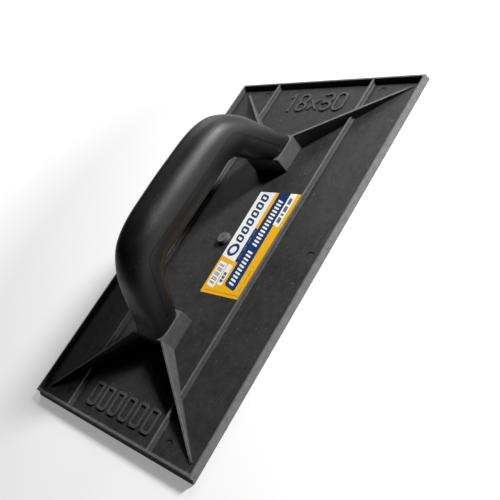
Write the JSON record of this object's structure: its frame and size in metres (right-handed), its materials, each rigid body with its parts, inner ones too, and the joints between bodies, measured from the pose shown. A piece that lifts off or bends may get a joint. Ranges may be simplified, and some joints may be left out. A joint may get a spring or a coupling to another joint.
{
  "type": "hand float",
  "caption": "Moulded plastic hand float: flat rimmed blade with ribs and diagonal webs under a closed arched handle, for smoothing mortar and plaster.",
  "frame": {"origin": "middle of the working sole, on the plane of the sole", "axes": "+X along the blade, from the end with the lozenges to the end with the size numerals; +Y across it; +Z from the sole up to the handle"},
  "size_m": [0.3, 0.18, 0.0754],
  "materials": {
    "blade_plastic": "satin black moulded plastic",
    "handle_plastic": "satin black moulded plastic",
    "screw_steel": "bright zinc",
    "label_film": "printed label in amber, dark blue and white"
  },
  "bodies": {
    "root": {"float_blade": "blade_plastic", "handle_top_shell": "handle_plastic", "handle_grip_shell": "handle_plastic", "post_screw_1": "screw_steel", "post_screw_2": "screw_steel", "size_label": "label_film"}
  },
  "joints": []
}
